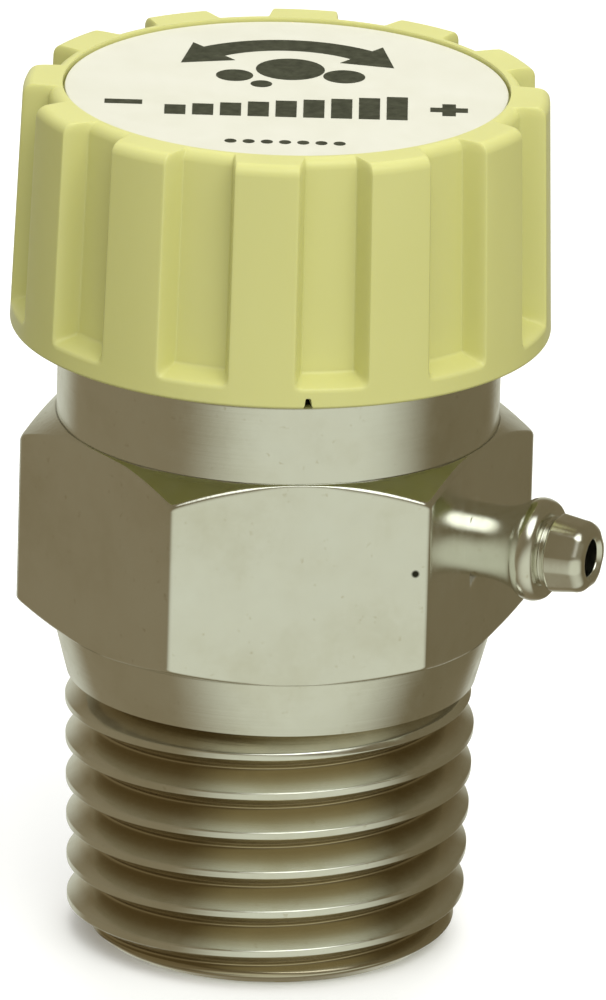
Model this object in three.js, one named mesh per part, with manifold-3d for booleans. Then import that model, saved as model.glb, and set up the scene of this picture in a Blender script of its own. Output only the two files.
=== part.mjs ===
// Automatic air vent: a hex brass body with a 1/4 inch taper thread, a side drain nozzle, a
// stack of swelling fibre discs and a ribbed knob on a screwed spindle.
// Millimetres. Z runs up the thread's axis from the thread's lower end face, +X along the nozzle.
import * as THREE from 'three';
import { mergeVertices } from 'three/addons/utils/BufferGeometryUtils.js';
import Module from 'manifold-3d';

const wasm = await Module();
wasm.setup();

// ---- Driving dimensions -------------------------------------------------------------------

const SIDES = 36; // facets of the large round surfaces
const SMALL_SIDES = 24; // facets of the small ones
const FINE_SIDES = 16; // facets of the smallest bores
const SLIP = 0.05; // play between pieces that slide, turn or rest on each other
const REST = 0.02; // gap between two pieces that lie on each other
const OVERCUT = 1; // how far a cutting solid runs past the face that it opens

const THREAD = {
  pitch: 1.4111, depth: 1.05, endRadius: 6.627, taper: 1 / 32, top: 9.2,
  crestFlat: 0.08, crestAtFront: 8.45, frontAngle: THREE.MathUtils.degToRad(-66.4),
  chamferRadius: 5.55, chamferHeight: 0.75, turns: 8.1, firstTurn: -7.25, stepsPerTurn: 18,
  embed: 0.12, rootGap: 0.06,
};
const HEX = { bottom: 11.2, top: 18.2, acrossFlats: 15.0, cornerLow: 11.74, cornerHigh: 17.47 };
const COLLAR = { bottomRadius: 6.87, topRadius: 7.4 };
const NECK = { radius: 7.4, stepZ: 20.9, stepBevel: 0.3, tipRadius: 6.9, top: 23.4, bore: 6.05 };

const INLET = { bore: 4.25, top: 9.3 };
const SEAT = { bore: 2.6, top: 10.7 };
const CHAMBER = { radius: 5.3, top: 19.2 };

const NOZZLE = {
  z: 15.0, hole: 1.5, shank: 1.45, inner: 5.6, shankEnd: 7.45, tubeStart: 7.6, tube: 1.25,
  flareStart: 7.95, collarStart: 9.3, collarEdge: 0.1, collar: 1.74, collarEnd: 10.0,
  tipStart: 10.2, tipEdge: 0.15, tip: 1.32, end: 11.6, endChamfer: 0.35, bore: 0.62,
};

const KNOB = {
  bottom: 21.4, top: 29.7, bottomRadius: 9.03, topRadius: 8.76, grooveDepth: 0.85, ribs: 12,
  ribHalf: 7.2, grooveHalf: 6.2, firstRib: -10, rim: 0.7, edge: 0.45, cavity: 7.2, roof: 27.6,
  hubRadius: 3.4, hubBottom: 26.5, ledge: 28.4, screwWell: 2.9, labelRecess: 7.45,
  labelFloor: 29.34, notchAngle: -60, notchWidth: 0.45, notchHeight: 0.5, notchLength: 2.5,
};
const LABEL = { radius: 7.38, thickness: 0.22 };

const TRAVEL = 1.5; // lift of the spindle over one and a half turns
const POPPET_OPEN = 2.2; // gap that the spindle's tip holds open under the seat at rest

const DISC = { count: 8, radius: 4.8, bore: 2.2, thickness: 0.5, gap: 0.08 };
const WASHER = { radius: 4.8, bore: 2.2, thickness: 0.5 };
const SEAT_RING = { radius: 5.15, bore: 2.9, thickness: 0.7 };
const SPINDLE = {
  pin: 0.9, nutThread: 1.5, shank: 2.0, flange: 3.4, flangeHeight: 1.0, major: 2.95, root: 2.4,
  pitch: 1.0, crestHalf: 0.08, rootHalf: 0.42, relief: 0.5, stem: 2.2, threadTop: 22.8,
  driveBottom: 26.4, driveTop: 28.3, drive: 3.1, screwHole: 1.1, screwDepth: 3.0,
};
const DISC_NUT = { acrossFlats: 3.9, radius: 2.5, hang: 0.5 };
const BONNET = {
  shank: 6.0, flange: 6.8, flangeBottom: 23.7, flangeTop: 24.9, boss: 4.4, top: 26.1,
  threadBore: 3.0, flangePocket: 3.75, glandBottom: 24.6, glandTop: 25.6, gland: 3.4,
  glandLip: 0.2, slotWidth: 1.2, slotDepth: 0.8,
};
const GASKET = { radius: 6.75, bore: 6.1 };
const O_RING = { sides: 8, squash: 0.8 };
const SCREW_WASHER = { radius: 2.6, bore: 1.1, thickness: 0.25 };
const SCREW = {
  shank: 0.9, length: 2.4, point: 0.2, head: 2.1, crown: 1.7, rim: 0.35, height: 0.55,
  slotWidth: 0.5, slotDepth: 0.3,
};
const CHECK = {
  retainerBottom: 0.8, retainerTop: 1.8, retainerRadius: 4.2, guide: 0.8, slots: 3,
  slotInner: 1.5, slotOuter: 3.5, slotAngle: 80, stem: 0.7, stemTip: 0.35, plate: 3.5,
  plateThickness: 0.9, boss: 1.2, bossDrop: 0.1, sealThickness: 0.8, sealRadius: 3.5,
  wire: 0.19, coilRadius: 2.55, coils: 4.5,
};

// ---- Materials ----------------------------------------------------------------------------

const finish = (color, roughness, metalness) => () =>
  new THREE.MeshStandardMaterial({ color, roughness, metalness });
const nickelPlate = finish(0xb9bba9, 0.28, 1.0);
const brass = finish(0xc9a85a, 0.32, 1.0);
const stainless = finish(0xc4c6c8, 0.25, 1.0);
const yellowPlastic = finish(0xd2cc86, 0.45, 0.0);
const whiteLabel = finish(0xf4f3ec, 0.5, 0.0);
const fibre = finish(0xb98f5c, 0.9, 0.0);
const rubber = finish(0x1c1c1b, 0.7, 0.0);

// ---- Solid helpers ------------------------------------------------------------------------

// A closed mesh as a manifold-3d solid, with its doubled vertices and empty triangles taken out.
function solidOf(geometry) {
  const bare = geometry.clone();
  bare.deleteAttribute('normal');
  bare.deleteAttribute('uv');
  const merged = mergeVertices(bare, 1e-4);
  const index = merged.index.array;
  const triVerts = [];
  for (let i = 0; i < index.length; i += 3) {
    const [a, b, c] = [index[i], index[i + 1], index[i + 2]];
    if (a !== b && b !== c && c !== a) triVerts.push(a, b, c);
  }
  const mesh = new wasm.Mesh({
    numProp: 3,
    vertProperties: merged.attributes.position.array,
    triVerts: Uint32Array.from(triVerts),
  });
  return new wasm.Manifold(mesh);
}

function geometryOf(solid) {
  const mesh = solid.getMesh();
  const geometry = new THREE.BufferGeometry();
  geometry.setAttribute('position', new THREE.BufferAttribute(mesh.vertProperties, 3));
  geometry.setIndex(new THREE.BufferAttribute(mesh.triVerts, 1));
  geometry.computeVertexNormals();
  return geometry;
}

// Turns [radius, z] points about Z. The outline closes on itself or on the axis, either way round.
function turned(outline, sides = SIDES) {
  let points = outline.map(([r, z]) => new THREE.Vector2(r, z));
  if (points[0].x > 0 || points.at(-1).x > 0) points.push(points[0].clone());
  if (THREE.ShapeUtils.area(points) < 0) points = points.reverse();
  return solidOf(new THREE.LatheGeometry(points, sides).rotateX(Math.PI / 2));
}

// A flat ring or, with no bore, a disc.
function ring(outer, bore, bottom, top, sides = SIDES) {
  return turned([[bore, bottom], [outer, bottom], [outer, top], [bore, top]], sides);
}

// A shape in the XY plane pulled up from one height to another.
function prism(shape, bottom, top, curveSegments = 6) {
  const options = { depth: top - bottom, bevelEnabled: false, curveSegments };
  return solidOf(new THREE.ExtrudeGeometry(shape, options).translate(0, 0, bottom));
}

function polygon(sides, inradius, turn = 0) {
  const corners = [];
  for (let i = 0; i < sides; i += 1) {
    const angle = turn + (2 * Math.PI * (i + 0.5)) / sides;
    const radius = inradius / Math.cos(Math.PI / sides);
    corners.push(new THREE.Vector2(radius * Math.cos(angle), radius * Math.sin(angle)));
  }
  return new THREE.Shape(corners);
}

function block(width, depth, bottom, top) {
  const box = new THREE.BoxGeometry(width, depth, top - bottom);
  return solidOf(box.translate(0, 0, (top + bottom) / 2));
}

const FADE_COLUMNS = 6; // a ridge dies away over this many columns at each end

// A helical ridge that grows out of the core and dies away at both ends. section gives its
// outline as [radius, height] pairs about the helix line.
function ridge({ section, pitch, turns, startZ, startAngle, taper, steps }) {
  const points = section.map(([r, h]) => new THREE.Vector2(r, h));
  points.push(points[0].clone());
  const columns = Math.round(turns * steps);
  const sweep = new THREE.LatheGeometry(points, columns, 0, turns * 2 * Math.PI);
  const position = sweep.attributes.position;
  const rootRadius = section[0][0];
  for (let i = 0; i < position.count; i += 1) {
    const column = Math.floor(i / points.length);
    const turn = column / steps;
    const { x: r, y: h } = points[i % points.length];
    const fade = Math.min(1, column / FADE_COLUMNS, (columns - column) / FADE_COLUMNS);
    const lift = startZ + pitch * turn;
    const angle = startAngle + turn * 2 * Math.PI;
    const radius = rootRadius + (r - rootRadius) * fade + taper * lift;
    position.setXYZ(i, radius * Math.cos(angle), radius * Math.sin(angle), lift + h * fade);
  }
  const solid = solidOf(sweep);
  return solid.volume() < 0 ? solidOf(flipped(sweep)) : solid;
}

function flipped(geometry) {
  const index = Array.from(geometry.index.array);
  for (let i = 0; i < index.length; i += 3) {
    [index[i], index[i + 1]] = [index[i + 1], index[i]];
  }
  return geometry.clone().setIndex(index);
}

// ---- Body ---------------------------------------------------------------------------------

const threadRadius = (z) => THREAD.endRadius + THREAD.taper * z;
const rootRadius = (z) => threadRadius(z) - THREAD.depth;

// The outside of the body above the thread as it leaves the lathe, before the hex is milled.
function upperEnvelope() {
  const apothem = HEX.acrossFlats / 2;
  const corner = apothem / Math.cos(Math.PI / 6) + REST;
  return turned([
    [0, THREAD.top], [COLLAR.bottomRadius, THREAD.top], [COLLAR.topRadius, HEX.bottom],
    [apothem, HEX.bottom], [corner, HEX.cornerLow], [corner, HEX.cornerHigh],
    [apothem, HEX.top], [NECK.radius, HEX.top], [NECK.radius, NECK.stepZ],
    [NECK.tipRadius, NECK.stepZ + NECK.stepBevel], [NECK.tipRadius, NECK.top], [0, NECK.top],
  ]);
}

function threadRidge() {
  const base = THREAD.endRadius - THREAD.depth;
  const rise = THREAD.depth * Math.tan(Math.PI / 6);
  const half = Math.min(rise + THREAD.crestFlat / 2, (THREAD.pitch - THREAD.rootGap) / 2);
  const section = [
    [base - THREAD.embed, -half], [THREAD.endRadius, -THREAD.crestFlat / 2],
    [THREAD.endRadius, THREAD.crestFlat / 2], [base - THREAD.embed, half],
  ];
  const startAngle = THREAD.firstTurn * 2 * Math.PI;
  const turnsToFront = (THREAD.frontAngle - startAngle) / (2 * Math.PI);
  const startZ = THREAD.crestAtFront - THREAD.pitch * turnsToFront;
  return ridge({ section, startZ, startAngle, pitch: THREAD.pitch, turns: THREAD.turns,
    taper: THREAD.taper, steps: THREAD.stepsPerTurn });
}

// The threaded end: a plain root cone and the thread, faced and chamfered at the bottom.
function threadedShank() {
  const overRun = THREAD.top + 2 * SLIP;
  const root = turned([
    [0, 0], [rootRadius(0), 0], [rootRadius(overRun), overRun], [0, overRun],
  ], THREAD.stepsPerTurn);
  const chamferTop = THREAD.chamferHeight * 2;
  const chamferSpread = THREAD.chamferRadius + 2 * (threadRadius(0) - THREAD.chamferRadius);
  const trim = turned([
    [0, 0], [THREAD.chamferRadius, 0], [chamferSpread, chamferTop], [chamferSpread, overRun],
    [0, overRun],
  ]);
  return root.add(threadRidge()).intersect(trim);
}

function bodyBlank() {
  const hexBar = prism(polygon(6, HEX.acrossFlats / 2), THREAD.top, NECK.top);
  return threadedShank().add(hexBar.intersect(upperEnvelope()));
}

function makeBody() {
  const inside = turned([
    [0, -OVERCUT], [INLET.bore, -OVERCUT], [INLET.bore, INLET.top], [SEAT.bore, INLET.top],
    [SEAT.bore, SEAT.top], [CHAMBER.radius, SEAT.top], [CHAMBER.radius, CHAMBER.top],
    [NECK.bore, CHAMBER.top], [NECK.bore, NECK.top + OVERCUT], [0, NECK.top + OVERCUT],
  ]);
  const portEnd = HEX.acrossFlats / 2 + OVERCUT;
  const port = alongX(ring(NOZZLE.hole, 0, CHAMBER.radius - OVERCUT, portEnd, SMALL_SIDES));
  return bodyBlank().subtract(inside).subtract(port);
}

// Lays a solid turned about Z along +X, at the nozzle's height.
function alongX(solid) {
  return solid.rotate([0, 90, 0]).translate([0, 0, NOZZLE.z]);
}

function makeNozzle() {
  const n = NOZZLE;
  const outside = turned([
    [0, n.inner], [n.shank, n.inner], [n.shank, n.shankEnd], [n.tube, n.tubeStart],
    [n.tube, n.flareStart], [n.collar - n.collarEdge, n.collarStart],
    [n.collar, n.collarStart + n.collarEdge], [n.collar, n.collarEnd],
    [n.tip - n.tipEdge, n.tipStart], [n.tip, n.tipStart + n.tipEdge],
    [n.tip, n.end - n.endChamfer], [n.tip - n.endChamfer, n.end], [0, n.end],
  ], SMALL_SIDES);
  const hole = ring(n.bore, 0, n.inner - OVERCUT, n.end + OVERCUT, FINE_SIDES);
  return alongX(outside.subtract(hole));
}

// ---- Check valve in the inlet -------------------------------------------------------------

// A curved slot for the water to pass, centred on angle.
function flowSlot(angle) {
  const half = THREE.MathUtils.degToRad(CHECK.slotAngle / 2);
  const shape = new THREE.Shape();
  shape.absarc(0, 0, CHECK.slotOuter, angle - half, angle + half, false);
  shape.absarc(0, 0, CHECK.slotInner, angle + half, angle - half, true);
  return prism(shape, CHECK.retainerBottom - OVERCUT, CHECK.retainerTop + OVERCUT);
}

function makeRetainer() {
  let plate = ring(CHECK.retainerRadius, CHECK.guide, CHECK.retainerBottom, CHECK.retainerTop);
  for (let i = 0; i < CHECK.slots; i += 1) {
    plate = plate.subtract(flowSlot((2 * Math.PI * i) / CHECK.slots));
  }
  return plate;
}

const sealTop = INLET.top - POPPET_OPEN;
const plateTop = sealTop - CHECK.sealThickness;
const plateBottom = plateTop - CHECK.plateThickness;
const bossTop = sealTop - CHECK.bossDrop;

function makePoppet() {
  return turned([
    [0, CHECK.stemTip], [CHECK.stem, CHECK.stemTip], [CHECK.stem, plateBottom],
    [CHECK.plate, plateBottom], [CHECK.plate, plateTop - SLIP], [CHECK.boss, plateTop - SLIP],
    [CHECK.boss, bossTop], [0, bossTop],
  ], SMALL_SIDES);
}

// The spring's turns, from the retainer up to the poppet's plate.
function makeSpring() {
  class Coil extends THREE.Curve {
    getPoint(t, target = new THREE.Vector3()) {
      const low = CHECK.retainerTop + CHECK.wire + SLIP;
      const high = plateBottom - CHECK.wire - SLIP;
      const angle = t * CHECK.coils * 2 * Math.PI;
      const x = CHECK.coilRadius * Math.cos(angle);
      const y = CHECK.coilRadius * Math.sin(angle);
      return target.set(x, y, THREE.MathUtils.lerp(low, high, t));
    }
  }
  const section = new THREE.Shape().absarc(0, 0, CHECK.wire, 0, 2 * Math.PI);
  const steps = Math.round(CHECK.coils * THREAD.stepsPerTurn);
  const options = { extrudePath: new Coil(), steps, curveSegments: 3 };
  return solidOf(new THREE.ExtrudeGeometry(section, options));
}

// ---- Disc cartridge -----------------------------------------------------------------------

const seatRingTop = SEAT.top + REST + SEAT_RING.thickness;
const bottomWasherZ = seatRingTop + REST;
const firstDiscZ = bottomWasherZ + WASHER.thickness + SLIP;
const discZ = (i) => firstDiscZ + i * (DISC.thickness + DISC.gap);
const topWasherZ = discZ(DISC.count) + REST;
const flangeZ = topWasherZ + WASHER.thickness + SLIP;

const washerAt = (z) => ring(WASHER.radius, WASHER.bore, z, z + WASHER.thickness, SMALL_SIDES);
const fibreDiscAt = (z) => ring(DISC.radius, DISC.bore, z, z + DISC.thickness, SMALL_SIDES);

// The slotted nut under the discs leaves a way in for the air past its four flats.
function makeDiscNut() {
  const flats = polygon(4, DISC_NUT.acrossFlats / 2);
  const nut = prism(flats, SEAT.top - DISC_NUT.hang, bottomWasherZ - SLIP);
  const bore = SPINDLE.nutThread + SLIP;
  const outside = ring(DISC_NUT.radius, bore, 0, CHAMBER.top, SMALL_SIDES);
  return nut.intersect(outside);
}

// ---- Spindle and bonnet -------------------------------------------------------------------

// The male thread is a real ridge. Its nut is a plain bore, as wide as the crests.
function makeSpindle() {
  const s = SPINDLE;
  const tip = bossTop + SLIP;
  const nutBottom = SEAT.top - DISC_NUT.hang - 2 * SLIP;
  const shankBottom = bottomWasherZ - REST;
  const flangeTop = flangeZ + s.flangeHeight;
  const threadBottom = flangeTop + s.relief;
  const threadCore = s.threadTop + 2 * SLIP;
  const core = turned([
    [0, tip], [s.pin, tip], [s.pin, nutBottom], [s.nutThread, nutBottom],
    [s.nutThread, shankBottom], [s.shank, shankBottom], [s.shank, flangeZ],
    [s.flange, flangeZ], [s.flange, flangeTop], [s.root, flangeTop], [s.root, threadCore],
    [s.stem, threadCore], [s.stem, s.driveBottom], [0, s.driveBottom],
  ], SMALL_SIDES);
  const buried = s.root - 2 * SLIP;
  const thread = ridge({
    section: [
      [buried, -s.rootHalf], [s.major, -s.crestHalf], [s.major, s.crestHalf],
      [buried, s.rootHalf],
    ],
    pitch: s.pitch, turns: (s.threadTop - threadBottom) / s.pitch - 4 * SLIP,
    startZ: threadBottom, startAngle: 0, taper: 0, steps: 12,
  });
  const drive = block(s.drive, s.drive, s.driveBottom - 4 * SLIP, s.driveTop).intersect(
    ring(s.stem - REST, 0, s.driveBottom - OVERCUT, s.driveTop + OVERCUT, SMALL_SIDES),
  );
  const screwBottom = s.driveTop - s.screwDepth;
  const hole = ring(s.screwHole, 0, screwBottom, s.driveTop + OVERCUT, FINE_SIDES);
  return core.add(thread).add(drive).subtract(hole);
}

function makeBonnet() {
  const b = BONNET;
  const bottom = CHAMBER.top + SLIP;
  const pocketTop = flangeZ + SPINDLE.flangeHeight + TRAVEL + 2 * SLIP;
  const stemBore = SPINDLE.stem + SLIP;
  const plug = turned([
    [0, bottom], [b.shank, bottom], [b.shank, b.flangeBottom], [b.flange, b.flangeBottom],
    [b.flange, b.flangeTop], [b.boss, b.flangeTop], [b.boss, b.top], [0, b.top],
  ]);
  const inside = turned([
    [0, bottom - OVERCUT], [b.flangePocket, bottom - OVERCUT], [b.flangePocket, pocketTop],
    [b.threadBore, pocketTop], [b.threadBore, b.glandBottom - b.glandLip],
    [stemBore, b.glandBottom - b.glandLip], [stemBore, b.glandBottom],
    [b.gland, b.glandBottom], [b.gland, b.glandTop], [stemBore, b.glandTop],
    [stemBore, b.top + OVERCUT], [0, b.top + OVERCUT],
  ], SMALL_SIDES);
  const slotBottom = b.flangeTop - b.slotDepth;
  const slotLength = 2 * (b.flange + OVERCUT);
  const spanner = block(slotLength, b.slotWidth, slotBottom, b.flangeTop + OVERCUT).subtract(
    ring(b.boss + 2 * SLIP, 0, slotBottom - OVERCUT, b.flangeTop + 2 * OVERCUT),
  );
  return plug.subtract(inside).subtract(spanner);
}

// The o-ring that seals the spindle in the bonnet's gland.
function oRing() {
  const wire = (BONNET.gland - SPINDLE.stem) / 2 - SLIP;
  const middle = (BONNET.gland + SPINDLE.stem) / 2;
  const z = (BONNET.glandBottom + BONNET.glandTop) / 2;
  const section = [];
  for (let i = 0; i < O_RING.sides; i += 1) {
    const angle = (2 * Math.PI * i) / O_RING.sides;
    const height = O_RING.squash * wire * Math.sin(angle);
    section.push([middle + wire * Math.cos(angle), z + height]);
  }
  return turned(section, SMALL_SIDES);
}

// ---- Knob ---------------------------------------------------------------------------------

// The ribbed outline at the skirt's size: flat-topped ribs with sloping flanks.
function ribbedOutline() {
  const radians = THREE.MathUtils.degToRad;
  const pitch = 360 / KNOB.ribs;
  const shape = new THREE.Shape();
  for (let i = 0; i < KNOB.ribs; i += 1) {
    const rib = KNOB.firstRib + pitch * i;
    const groove = rib + pitch / 2;
    const grooveRadius = KNOB.bottomRadius - KNOB.grooveDepth;
    shape.absarc(0, 0, KNOB.bottomRadius, radians(rib - KNOB.ribHalf), radians(rib + KNOB.ribHalf));
    shape.absarc(0, 0, grooveRadius, radians(groove - KNOB.grooveHalf),
      radians(groove + KNOB.grooveHalf));
  }
  return shape;
}

// The moulded draft draws the ribs in towards the top.
function draftedRibs() {
  const options = { depth: KNOB.top - KNOB.bottom, bevelEnabled: false, curveSegments: 2 };
  const geometry = new THREE.ExtrudeGeometry(ribbedOutline(), options);
  const position = geometry.attributes.position;
  for (let i = 0; i < position.count; i += 1) {
    const share = position.getZ(i) / options.depth;
    const radius = THREE.MathUtils.lerp(KNOB.bottomRadius, KNOB.topRadius, share);
    const scale = radius / KNOB.bottomRadius;
    position.setX(i, position.getX(i) * scale);
    position.setY(i, position.getY(i) * scale);
  }
  return solidOf(geometry.translate(0, 0, KNOB.bottom));
}

// The knob's envelope, with its rounded top edge.
function knobEdge() {
  const outer = KNOB.topRadius + SLIP;
  const outline = [[0, KNOB.bottom], [KNOB.bottomRadius + SLIP, KNOB.bottom]];
  const steps = 4;
  for (let step = 0; step <= steps; step += 1) {
    const angle = (Math.PI / 2) * (step / steps);
    const r = outer - KNOB.edge * (1 - Math.cos(angle));
    outline.push([r, KNOB.top - KNOB.edge * (1 - Math.sin(angle))]);
  }
  outline.push([0, KNOB.top]);
  return turned(outline);
}

function knobInside() {
  return turned([
    [0, KNOB.bottom - OVERCUT], [KNOB.cavity, KNOB.bottom - OVERCUT], [KNOB.cavity, KNOB.roof],
    [KNOB.hubRadius, KNOB.roof], [KNOB.hubRadius, KNOB.hubBottom], [0, KNOB.hubBottom],
  ]);
}

function makeKnob() {
  const rim = ring(KNOB.bottomRadius, 0, KNOB.bottom, KNOB.bottom + KNOB.rim);
  const square = SPINDLE.drive + 2 * SLIP;
  const driveHole = block(square, square, KNOB.hubBottom - OVERCUT, KNOB.ledge + 2 * SLIP);
  const screwWell = ring(KNOB.screwWell, 0, KNOB.ledge, KNOB.top + OVERCUT, SMALL_SIDES);
  const labelWell = ring(KNOB.labelRecess, 0, KNOB.labelFloor, KNOB.top + OVERCUT);
  const notchTop = KNOB.bottom + KNOB.notchHeight;
  const notch = block(KNOB.notchLength, KNOB.notchWidth, KNOB.bottom - OVERCUT, notchTop)
    .translate([KNOB.bottomRadius, 0, 0]).rotate([0, 0, KNOB.notchAngle]);
  return draftedRibs().add(rim).intersect(knobEdge()).subtract(knobInside())
    .subtract(driveHole).subtract(screwWell).subtract(labelWell).subtract(notch);
}

function makeKnobScrew(seatZ) {
  const tip = SPINDLE.driveTop - SCREW.length;
  const crownZ = seatZ + SCREW.height;
  const screw = turned([
    [0, tip], [SCREW.shank, tip + SCREW.point], [SCREW.shank, seatZ], [SCREW.head, seatZ],
    [SCREW.head, seatZ + SCREW.rim], [SCREW.crown, crownZ], [0, crownZ],
  ], SMALL_SIDES);
  const slotLength = 2 * (SCREW.head + OVERCUT);
  const slotBottom = crownZ - SCREW.slotDepth;
  return screw.subtract(block(slotLength, SCREW.slotWidth, slotBottom, crownZ + OVERCUT));
}

// ---- Assembly -----------------------------------------------------------------------------

const vent = new THREE.Group();

function place(name, solid, material, group = vent) {
  const mesh = new THREE.Mesh(geometryOf(solid), material());
  mesh.name = name;
  group.add(mesh);
}

const valveBody = new THREE.Group();
place('body', makeBody(), nickelPlate, valveBody);
place('drain_nozzle', makeNozzle(), nickelPlate, valveBody);
place('bonnet', makeBonnet(), brass, valveBody);
place('bonnet_gasket', ring(GASKET.radius, GASKET.bore, NECK.top + REST,
  BONNET.flangeBottom - REST), rubber, valveBody);
place('spindle_o_ring', oRing(), rubber, valveBody);
place('seat_ring', ring(SEAT_RING.radius, SEAT_RING.bore, SEAT.top + REST, seatRingTop), rubber,
  valveBody);
place('check_retainer', makeRetainer(), brass, valveBody);
place('check_spring', makeSpring(), stainless, valveBody);

const checkPoppet = new THREE.Group();
place('check_poppet', makePoppet(), brass, checkPoppet);
place('poppet_seal', ring(CHECK.sealRadius, CHECK.boss + SLIP, plateTop, sealTop), rubber,
  checkPoppet);

const discCartridge = new THREE.Group();
place('disc_bottom_washer', washerAt(bottomWasherZ), brass, discCartridge);
for (let i = 0; i < DISC.count; i += 1) {
  place(`fibre_disc_${i + 1}`, fibreDiscAt(discZ(i)), fibre, discCartridge);
}
place('disc_top_washer', washerAt(topWasherZ), brass, discCartridge);

const knobSpindle = new THREE.Group();
const knobWasherZ = KNOB.ledge + REST;
const knobWasherTop = knobWasherZ + SCREW_WASHER.thickness;
const labelZ = KNOB.labelFloor + REST;
place('spindle', makeSpindle(), brass, knobSpindle);
place('disc_nut', makeDiscNut(), brass, knobSpindle);
place('knob', makeKnob(), yellowPlastic, knobSpindle);
place('knob_screw_washer', ring(SCREW_WASHER.radius, SCREW_WASHER.bore, knobWasherZ,
  knobWasherTop, SMALL_SIDES), stainless, knobSpindle);
place('knob_screw', makeKnobScrew(knobWasherTop + REST), stainless, knobSpindle);
place('label_disc', ring(LABEL.radius, 0, labelZ, labelZ + LABEL.thickness), whiteLabel,
  knobSpindle);

vent.add(valveBody, checkPoppet, discCartridge, knobSpindle);

export default vent;
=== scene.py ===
# Looks of the automatic air vent: a nickel-plated hex body with a taper thread, a side drain
# nozzle, a ribbed yellow knob with a printed label, and the working parts inside.
# Shapes are worked out in millimetres in the row frame and stored in metres.
import math

import bmesh
import bpy
from mathutils import Matrix, Vector


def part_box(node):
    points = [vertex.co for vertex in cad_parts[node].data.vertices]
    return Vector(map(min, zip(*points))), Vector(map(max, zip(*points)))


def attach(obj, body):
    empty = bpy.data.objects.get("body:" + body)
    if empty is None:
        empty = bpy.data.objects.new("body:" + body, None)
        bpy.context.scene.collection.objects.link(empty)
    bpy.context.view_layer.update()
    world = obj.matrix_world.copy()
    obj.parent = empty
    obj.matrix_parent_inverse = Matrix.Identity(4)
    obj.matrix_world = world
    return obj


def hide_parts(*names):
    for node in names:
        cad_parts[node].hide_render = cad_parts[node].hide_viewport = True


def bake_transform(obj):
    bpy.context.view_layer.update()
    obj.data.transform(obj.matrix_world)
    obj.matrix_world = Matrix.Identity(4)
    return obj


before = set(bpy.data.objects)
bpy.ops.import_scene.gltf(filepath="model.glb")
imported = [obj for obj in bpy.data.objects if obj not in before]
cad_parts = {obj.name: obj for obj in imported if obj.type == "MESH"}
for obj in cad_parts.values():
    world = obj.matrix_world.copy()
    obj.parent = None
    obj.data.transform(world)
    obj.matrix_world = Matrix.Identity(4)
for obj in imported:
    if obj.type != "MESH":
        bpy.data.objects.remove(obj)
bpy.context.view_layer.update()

MM = 0.001


# ---- Places read from the frame, in millimetres ---------------------------------------------

def span(node, axis):
    """The lowest and highest coordinate of a CAD node along one axis, in millimetres."""
    low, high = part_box(node)
    return low["xyz".index(axis)] / MM, high["xyz".index(axis)] / MM


def radius_of(node):
    """Half of a round node's width across Y, in millimetres."""
    low, high = span(node, "y")
    return (high - low) / 2


BODY_TOP = span("body", "z")[1]
APOTHEM = span("body", "x")[1]  # flats face +X and -X
KNOB_BOTTOM, KNOB_TOP = span("knob", "z")
KNOB_RADIUS = 9.03
NOZZLE_Z = sum(span("drain_nozzle", "z")) / 2
NOZZLE_START, NOZZLE_END = span("drain_nozzle", "x")
# Lays a piece turned about Z along +X, at the nozzle's height
LAY = Matrix.Translation((0, 0, NOZZLE_Z * MM)) @ Matrix.Rotation(math.pi / 2, 4, "Y")

# The thread is a 1/4 inch taper pipe thread: 18 turns to the inch, 1 in 16 on the diameter.
PITCH = 25.4 / 18
THREAD_END_RADIUS = 6.627
THREAD_DEPTH = 0.86
THREAD_TAPER = 1 / 32
THREAD_TOP = 9.2
CREST_ANGLE = -66.4  # the direction in which a crest lies at CREST_Z
CREST_Z = 8.45
THREAD_CHAMFER_RADIUS = 5.55
THREAD_CHAMFER_SLOPE = 1.3
THREAD_RUNOUT = 0.75  # height over which the thread fades into the collar
THREAD_CREST, THREAD_ROOT = 0.13, 0.05  # flats on the crest and in the root, in pitches
THREAD_EASE = 0.07  # share of each flank that is rounded at either end

HEX_BOTTOM, HEX_TOP = 11.2, 18.2
CHAMFER_RISE_TOP = 0.63  # height of the hex's chamfers for each millimetre of radius
CHAMFER_RISE_BOTTOM = 0.465
HEX_EDGE = 0.16  # how far the worn edge between flat and chamfer is rounded
CHAMFER_INNER = 7.44  # radius at which the hex's chamfers end
HEX_CORNER = 0.22  # radius of the hex's upright edges
BODY_COLUMNS = 360
PIT = (7.13, -4.55, 15.1)  # a dark pit near the right edge of the front flat
COLLAR_LOW, COLLAR_HIGH = 6.87, 7.4
NECK, NECK_STEP, NECK_TIP, NECK_BEVEL = 7.4, 20.9, 6.9, 0.3
INLET, INLET_TOP, INLET_BEVEL = 4.25, 9.3, 0.35
SEAT, SEAT_TOP = 2.6, 10.7
CHAMBER, CHAMBER_TOP = 5.3, 19.2
NECK_BORE = 6.05
PORT_RADIUS, PORT_START, PORT_END = 0.9, 4.8, 8.0  # the way out behind the nozzle, along X

RIBS = 12
FIRST_RIB = -10.0  # degrees
KNOB_TOP_RADIUS = 8.76
GROOVE_DEPTH = 0.85
RIB_HALF, RIB_FLANK = 6.9, 2.0  # degrees: half a rib's top, and the flank beside it
RIM_TOP = 22.05  # the skirt's plain rim ends here and the grooves begin
KNOB_CAVITY, KNOB_ROOF = 7.2, 27.6
HUB, HUB_BOTTOM, HUB_BORE = 3.4, 26.5, 1.62
SCREW_WELL, SCREW_LEDGE = 2.9, 28.4
NOTCH_ANGLE = -60.0
NOTCH_HEIGHT = 0.38
NOTCH_HALF = 0.5  # degrees
LABEL_ANGLE = 23.6  # the print's reading direction, in degrees from +X
LABEL_RECESS = 7.45
LABEL_RADIUS = 7.38
INK_HEIGHT = 0.012

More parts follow.
